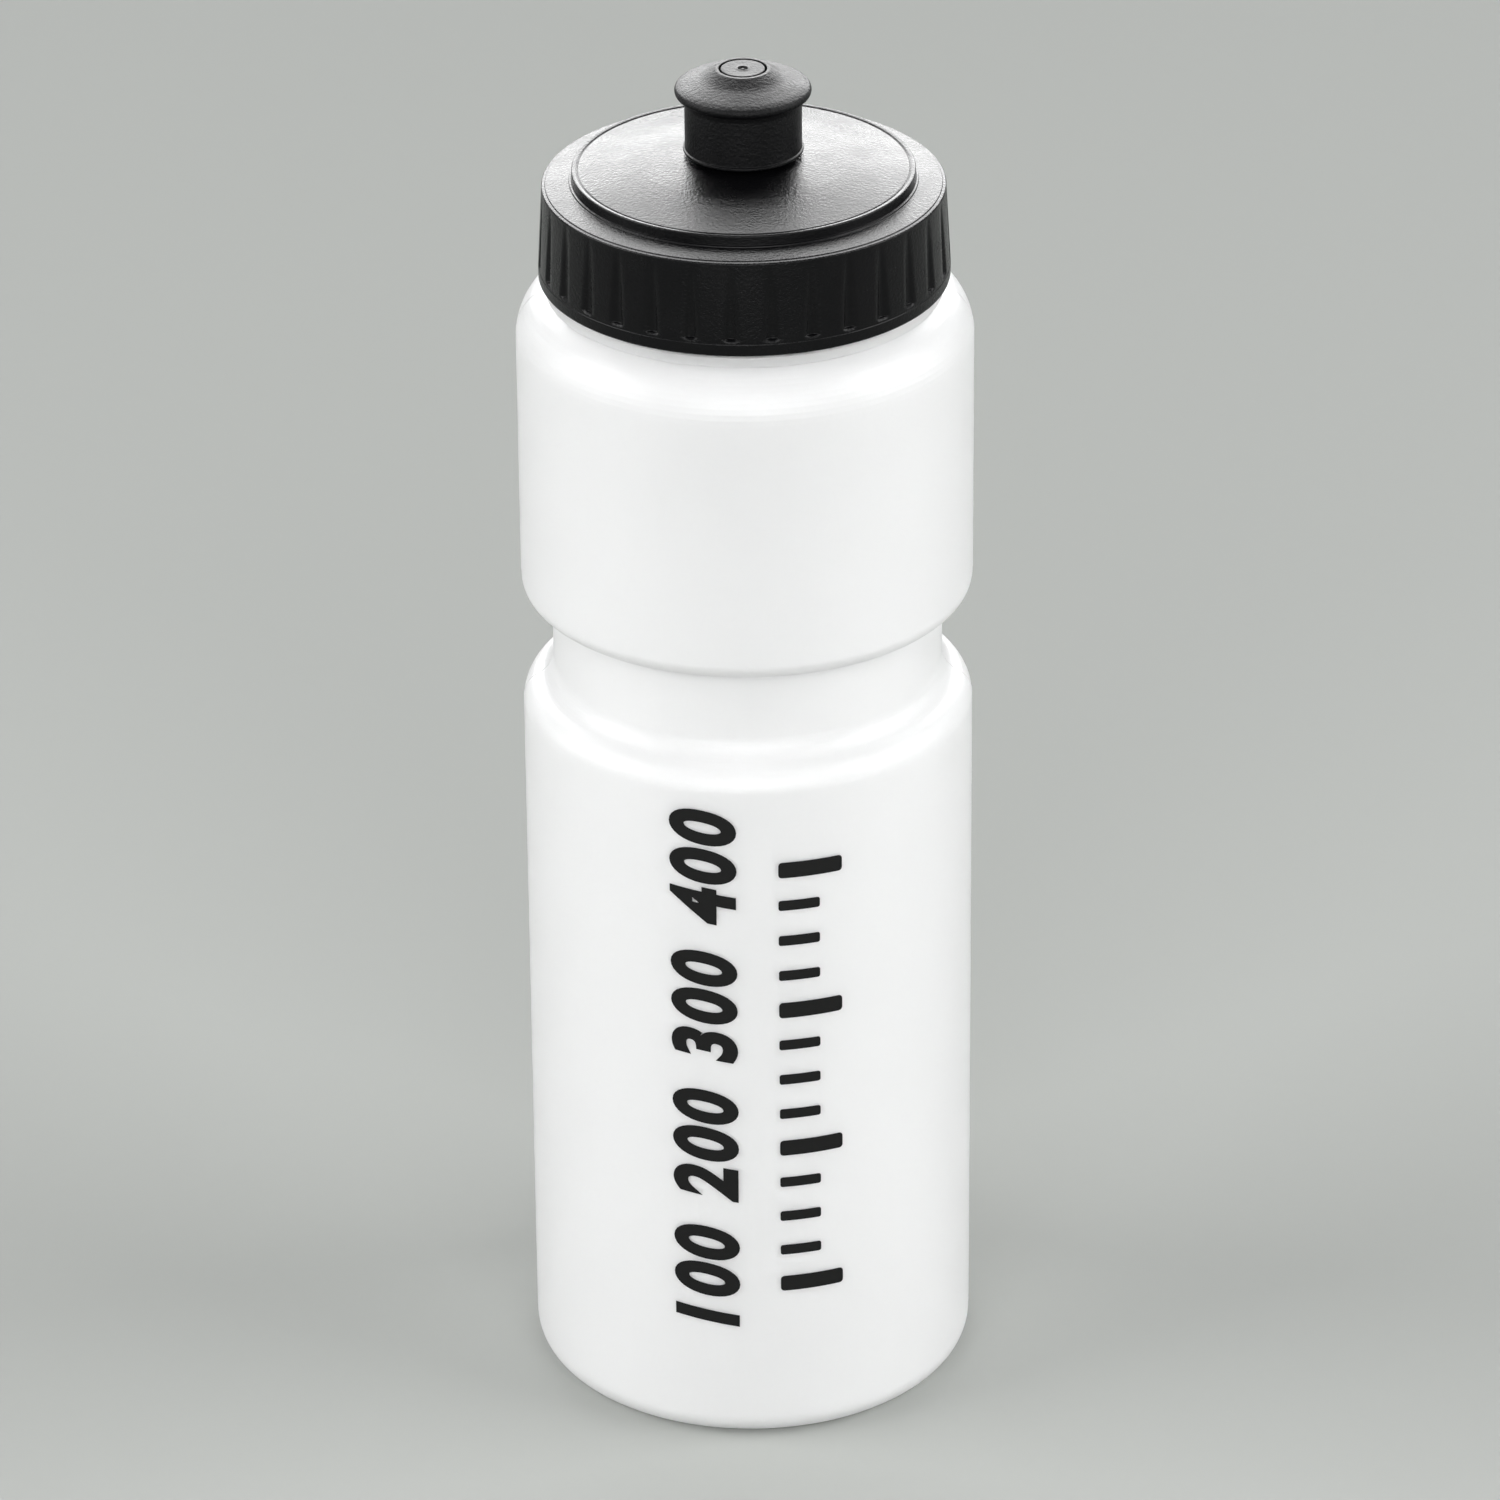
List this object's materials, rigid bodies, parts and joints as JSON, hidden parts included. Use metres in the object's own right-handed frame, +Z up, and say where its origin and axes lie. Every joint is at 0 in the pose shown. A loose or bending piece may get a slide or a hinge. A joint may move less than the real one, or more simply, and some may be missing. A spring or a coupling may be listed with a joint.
{
  "type": "sports squeeze bottle",
  "caption": "Translucent round squeeze bottle with a recessed grip waist, fluted black screw cap and a push-pull drinking valve that slides on the cap's chimney.",
  "frame": {"origin": "centre of the foot ring's plane, on the bottle's axis", "axes": "+Z up along the bottle's axis; -Y towards the viewer of the printed scale"},
  "size_m": [0.0728, 0.0728, 0.2303],
  "materials": {
    "bottle": "milky translucent natural LDPE, satin blow-moulded skin",
    "seal": "soft off-white elastomer",
    "cap": "black polypropylene, satin skirt and finely grained top",
    "valve": "black polyethylene, finely grained flange and smoother sleeve"
  },
  "bodies": {
    "bottle": {"bottle_body": "bottle"},
    "seal": {"cap_seal": "seal"},
    "cap": {"screw_cap": "cap"},
    "valve": {"push_pull_valve": "valve"}
  },
  "joints": [
    {"name": "cap_rise", "type": "slide", "parent": "bottle", "child": "seal", "axis": [0, 0, 1], "range_m": [0, 0.006]},
    {"name": "cap_turn", "type": "hinge", "parent": "seal", "child": "cap", "pos_m": [0, 0, 0.2], "axis": [0, 0, 1], "range_deg": [0, 540]},
    {"name": "valve_pull", "type": "slide", "parent": "cap", "child": "valve", "axis": [0, 0, 1], "range_m": [0, 0.0065]}
  ],
  "couplings": [
    {"joint": "cap_rise", "follows": "cap_turn", "m_per_rad": 0.0006366}
  ]
}
